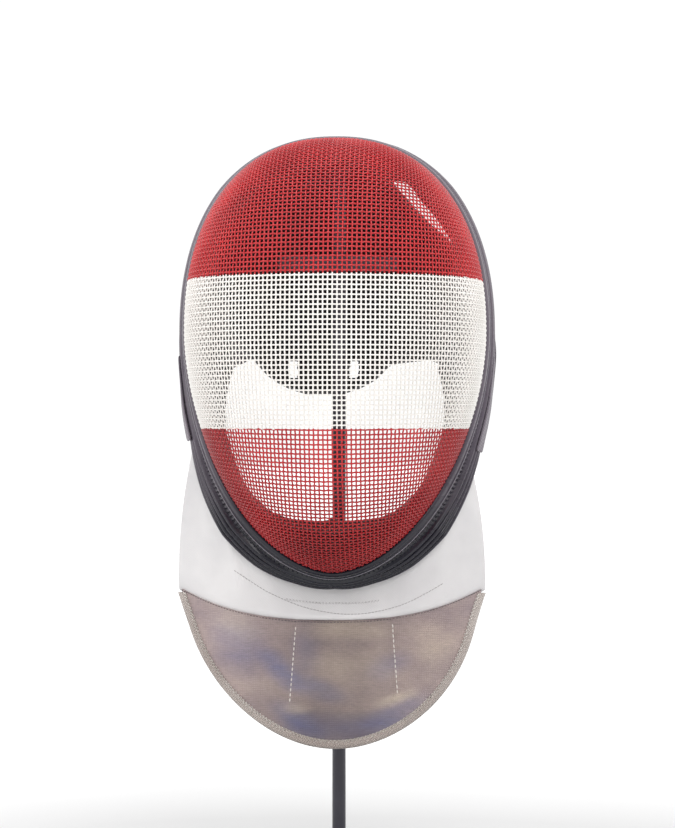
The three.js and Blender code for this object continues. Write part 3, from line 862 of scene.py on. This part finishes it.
strap = plate("strap_band", strap_band(), STRAP_THICK, ELASTIC)
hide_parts("back_strap")


# The bib

# Where the bib hangs at its top and foot, how far its sides wrap back, and over what half width
BIB_TOP, BIB_TOP_Y, BIB_FOOT_Y, BIB_WRAP, WRAP_HALF = CORNER + 60, -3, -30, 58, 114
# Thickness of the two cloths
CLOTH_THICK = 2.2


def bib_y(x, z):
    down = np.clip((BIB_TOP - z) / (BIB_TOP - BIB_LOW), 0, 1)
    share = np.clip(np.abs(x) / WRAP_HALF, 0, 1)
    return mix(BIB_TOP_Y, BIB_FOOT_Y, down * down) + BIB_WRAP * (1 - np.sqrt(1 - share * share))


def lean(z):
    return mix(LEAN_TOP, LEAN_LOW, smooth((CORNER - z) / (CORNER - BIB_LOW)))


def bib_point(x, z, forward=0.0):
    """A point of the bib; x is counted from its own middle line, which leans a little."""
    return np.stack(np.broadcast_arrays(x + lean(z), bib_y(x, z) + forward, z), -1)


def bib_half(low):
    """Half the width, by how far down the edge it is, with the top corners drawn out."""
    return BIB_HALF + BIB_FLARE * np.clip(1 - low / FLARE_DEEP, 0, 1) ** 2


def seam_z(x):
    return SEAM + SEAM_RISE * np.minimum(np.abs(x) / bib_half(0), 1) ** 2.6


def bib_edge(u):
    turn = mix(-math.pi, 0, u)
    low = -power(np.sin(turn), 2 / EDGE_ROUND)
    return bib_half(low) * power(np.cos(turn), 2 / EDGE_ROUND), mix(CORNER, BIB_LOW, low)


def bib_upper():
    rows, columns = 33, 145
    u, v = np.linspace(0, 1, columns)[None], np.linspace(0, 1, rows)[:, None]
    turn = mix(-math.pi - turn_at(RISE_LEFT), turn_at(RISE_RIGHT), u[0])
    top = ring_line(turn, 25.9, 0.6)[None]
    x = mix(-bib_half(0), bib_half(0), u)
    z = seam_z(x) + 0.35
    low = bib_point(x, z)
    p = mix(top, low, v[..., None])
    p[..., 0] = mix(top[..., 0], low[..., 0], 1 - (1 - v) ** 2.2)
    p[..., 1] += -0.9 * np.sin(v * math.pi) * (np.sin(u * 37) * 0.5 + np.sin(u * 61 + 1) * 0.3)
    # The lower edge is tucked behind the metallic cloth
    tuck = smooth((v - 0.93) / 0.07)
    p[..., 1] += 2.3 * tuck
    p[..., 2] -= 3.0 * tuck
    return p


upper_points = bib_upper()
upper = plate("bib_cloth", upper_points, CLOTH_THICK, WHITE)
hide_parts("bib_upper")


# Place of the top and of the low end of each dart, and how low it ends
DARTS = ((-22.3, -29.6, 125.0), (41.0, 41.7, 131.0))


def dart_x(dart, z):
    return mix(dart[0], dart[1], np.clip((SEAM - z) / (SEAM - dart[2]), 0, 1))


def bib_lame():
    rows, columns = 49, 161
    u, v = np.linspace(0, 1, columns)[None], np.linspace(0, 1, rows)[:, None]
    hold = TAPE_INNER * 0.5
    top = CORNER - 1.85
    low = (CORNER - top) / (CORNER - BIB_LOW)
    half = bib_half(low) * (1 - low ** EDGE_ROUND) ** (1 / EDGE_ROUND)
    x = mix(-1, 1, u) * (half - hold)
    ex, ez = bib_edge(np.clip(u, 0.012, 0.988))
    inner = 1 - hold / np.hypot(ex, ez - CORNER)
    bx, bz = ex * inner, np.minimum(mix(CORNER, ez, inner) - 0.35, seam_z(x) - 2)
    px, pz = mix(x, bx, v), mix(seam_z(x) - 0.35, bz, v)
    dart = sum(np.exp(-((px - dart_x(d, pz)) / 2.2) ** 2) * smooth((pz - d[2] + 4) / 8)
               for d in DARTS)
    wave = 0.7 * np.sin(px / 17 + 0.6) * np.sin(pz / 23)
    return bib_point(px, pz, dart * 0.8 + wave * np.sin(v * math.pi))


lame_points = bib_lame()
lame = plate("bib_lame_cloth", lame_points, CLOTH_THICK, LAME)
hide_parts("bib_lame")


def tape_ring():
    u = np.linspace(0.015, 0.985, 181)
    ex, ez = bib_edge(u)
    away = unit(np.stack([ex, 0 * ex, ez - CORNER], -1))
    near, far, thick = TAPE_INNER, TAPE_OUTER, 2.2
    rows = []
    outline = ((-near, -0.4), (-near * 1.02, 0), (-near, 0.35), (-near * 0.7, 0.85), (0, 1),
               (far * 0.7, 0.7), (far, 0), (far * 0.7, -0.7), (0, -1), (-near * 0.7, -0.85))
    for a, b in ((x, y * thick) for x, y in outline):
        x, z = ex + away[:, 0] * a, ez + away[:, 2] * a
        rows.append(bib_point(x, z, b))
    return np.stack(rows, 1)


tape_points = tape_ring()
tape = add_mesh("bib_tape", tape_points, grid_faces(*tape_points.shape[:2], False, True), TAPE)
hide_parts("bib_binding")


def declare(obj, points):
    """Notes a grid of cloth's flat size, from its own rows and columns, and its area, under sheets
    in the sizes table.
    """
    wide = float(np.linalg.norm(np.diff(points, axis=1), axis=-1).sum(1).max() / 1000)
    tall = float(np.linalg.norm(np.diff(points, axis=0), axis=-1).sum(0).max() / 1000)
    area = grid_area(points) / 1e6
    sizes.setdefault("sheets", {})[obj.name] = [round(wide, 4), round(tall, 4), round(area, 5)]


# Threads on the bib
lame_out = -grid_normals(lame_points)
lame_out *= np.where(lame_out[..., 1:2] > 0, -1, 1)
# The top row of stitches is dark: real stitches, with the painted shadow of the seam in their
# colour
top_row = stitches("lame_top_thread", lame_points[1] + lame_out[1] * 1.1, lame_out[1], 2.2, 1.3,
                   0.26, SEAM_SHADE_THREAD)
for dart, name in zip(DARTS, ("dart_thread_left", "dart_thread_right")):
    own = lame_points[..., 0] - lean(lame_points[..., 2])
    pick = np.abs(own - dart_x(dart, lame_points[..., 2])).argmin(1)
    rows = np.arange(2, len(lame_points) - 2)
    rows = rows[lame_points[rows, pick[rows], 2] > dart[2]]
    line = lame_points[rows, pick[rows]].copy()
    line[:, 0] = dart_x(dart, line[:, 2]) + lean(line[:, 2])
    stitches(name, line + lame_out[rows, pick[rows]] * 0.9, lame_out[rows, pick[rows]],
                          3.4, 3.2, 0.42, THREAD)


def zigzag(line, normals, inward, pitch, wide):
    """A line that swings to and fro across another, with its normals."""
    step = distances(line)
    at = np.arange(0, step[-1], pitch / 2)
    swing = np.where(np.arange(len(at)) % 2, 0.5, -0.5) * wide
    p = sampled(at, step, line) + unit(sampled(at, step, inward)) * swing[:, None]
    return p, unit(sampled(at, step, normals))


front_tape = tape_points[:, 9]
inward = unit(tape_points[:, 1] - tape_points[:, 6])
facing = np.tile(np.array([0.0, -1.0, 0.0]), (len(front_tape), 1))
zig_path = zigzag(front_tape + facing * 0.1, facing, inward, 2.6, 2.2)
zig = tubes("tape_zigzag", [zig_path], 0.34, 5, THREAD)

# The faint curved seam of the white cloth, and a zigzag of white thread above it, both greyed as
# painted shade in the stitch lines
upper_out = grid_normals(upper_points)
upper_out *= np.where(upper_out[..., 1:2] > 0, -1, 1)


def on_cloth(u, v):
    """Points of the white cloth and its normals there, by shares across and down."""
    rows, columns = upper_points.shape[:2]
    i, j = np.clip(v, 0, 1) * (rows - 1), np.clip(u, 0, 1) * (columns - 1)
    i0, j0 = np.minimum(i.astype(int), rows - 2), np.minimum(j.astype(int), columns - 2)
    a, b = (i - i0)[:, None], (j - j0)[:, None]
    high, low = (mix(upper_points[k, j0], upper_points[k, j0 + 1], b) for k in (i0, i0 + 1))
    return mix(high, low, a), upper_out[i0, j0]


# The seam's lowest place, and how fast it rises to each side
SEAM_LOW_X, SEAM_LOW_Z, SEAM_BEND = 9, 184, 0.0052


def seam_share(u):
    """How far down the white cloth its curved seam runs, smoothed along the seam."""
    columns = (u * (upper_points.shape[1] - 1)).astype(int)
    rows = np.linspace(0, 1, len(upper_points))
    middle = upper_points[len(upper_points) // 2]
    height = SEAM_LOW_Z + SEAM_BEND * (middle[columns, 0] - SEAM_LOW_X) ** 2
    share = [np.interp(-z, -upper_points[:, c, 2], rows) for z, c in zip(height, columns)]
    return np.convolve(np.pad(share, 4, mode="edge"), np.ones(9) / 9, mode="valid")


# How far a thread lies above the middle of the cloth
ON_CLOTH = 1.05
seam_u = np.linspace(0.2, 0.86, 141)
seam_line, seam_out = on_cloth(seam_u, seam_share(seam_u))
cloth_seam = stitches("cloth_seam", seam_line + seam_out * ON_CLOTH, seam_out, 2.3, 2.1, 0.26,
                      SHADED_WHITE_THREAD)
zig_u = np.linspace(0.36, 0.66, 61)
zig_line, zig_out = on_cloth(zig_u, np.full(zig_u.shape, 0.6))
zig_up = np.tile([0.0, 0.0, 1.0], (len(zig_u), 1))
zig_path = zigzag(zig_line + zig_out * ON_CLOTH, zig_out, zig_up, 2.2, 1.8)
cloth_zig = tubes("cloth_zigzag", [zig_path], 0.2, 5, SHADED_WHITE_THREAD)

declare(upper, upper_points)
declare(lame, lame_points)

# Stage and light
floor_material, floor_tree, floor_shader = node_material("floor", 0.9)
floor_colour = ramp(floor_tree, noise(floor_tree, 2.0), [(0.3, (0.7,) * 3), (0.7, (0.72,) * 3)])
floor_tree.links.new(floor_colour, floor_shader.inputs["Base Color"])
floor_shader.inputs["Emission Color"].default_value = (1, 1, 1, 1)
floor_way = node(floor_tree, "ShaderNodeVectorMath", operation="LENGTH")
floor_tree.links.new(place_node(floor_tree), floor_way.inputs[0])
# Brighter far behind, where the floor meets the white background
floor_glow = map_range(floor_tree, floor_way.outputs["Value"], 0.35, 1.1, 0.05, 0.7)
floor_tree.links.new(floor_glow, floor_shader.inputs["Emission Strength"])
floor_mesh = bpy.data.meshes.new("floor")
floor_mesh.from_pydata([(-20, -20, 0), (20, -20, 0), (20, 20, 0), (-20, 20, 0)], [], [(0, 1, 2, 3)])
floor_mesh.materials.append(floor_material)
floor = bpy.data.objects.new("floor", floor_mesh)
bpy.context.scene.collection.objects.link(floor)
floor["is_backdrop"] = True

world = bpy.data.worlds.new("studio")
bpy.context.scene.world = world
world.use_nodes = True
back = world.node_tree.nodes["Background"]
back.inputs[0].default_value = (1, 1, 1, 1)
sky = world.node_tree
way = node(sky, "ShaderNodeSeparateXYZ")
sky.links.new(node(sky, "ShaderNodeTexCoord").outputs["Generated"], way.inputs[0])
# Bright behind and beside the mask, dimmer on the side that it faces
sky.links.new(map_range(sky, way.outputs[1], -0.75, 0.35, 0.5, 1.05), back.inputs[1])

for name, place, size, energy in (
        ("top", (0.0, -0.5, 2.0), 1.2, 12.0), ("left", (-1.5, -1.2, 1.3), 0.9, 5.5),
        ("front", (0.4, -1.8, 1.5), 0.8, 9.0)):
    light = bpy.data.lights.new(name, "AREA")
    light.size = size
    light.energy = energy
    lamp = bpy.data.objects.new(name, light)
    bpy.context.scene.collection.objects.link(lamp)
    lamp.location = place
    lamp.rotation_euler = (Vector((0, 0, 0.33)) - lamp.location).to_track_quat("-Z", "Y").to_euler()

bpy.context.scene.view_settings.view_transform = "Standard"

low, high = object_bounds()
sizes["visual"] = [list(low), list(high)]
